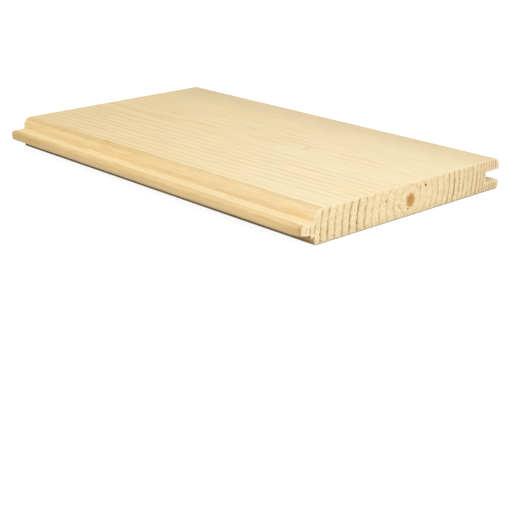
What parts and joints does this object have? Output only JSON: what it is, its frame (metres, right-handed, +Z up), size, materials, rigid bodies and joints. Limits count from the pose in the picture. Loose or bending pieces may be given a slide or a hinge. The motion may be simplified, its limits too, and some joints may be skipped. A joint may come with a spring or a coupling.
{
  "type": "tongue and groove board",
  "caption": "Short planed softwood panel board with a tongue along one long edge, a matching groove along the other, rounded face edges and square sawn ends.",
  "frame": {"origin": "middle of the overall outline in plan, on the back face", "axes": "+X across the board from the tongue to the groove, +Y along the grain, +Z up from the back face to the show face"},
  "size_m": [0.12, 0.2, 0.014],
  "materials": {
    "softwood": "planed, untreated pale softwood"
  },
  "bodies": {
    "root": {"board": "softwood"}
  },
  "joints": []
}
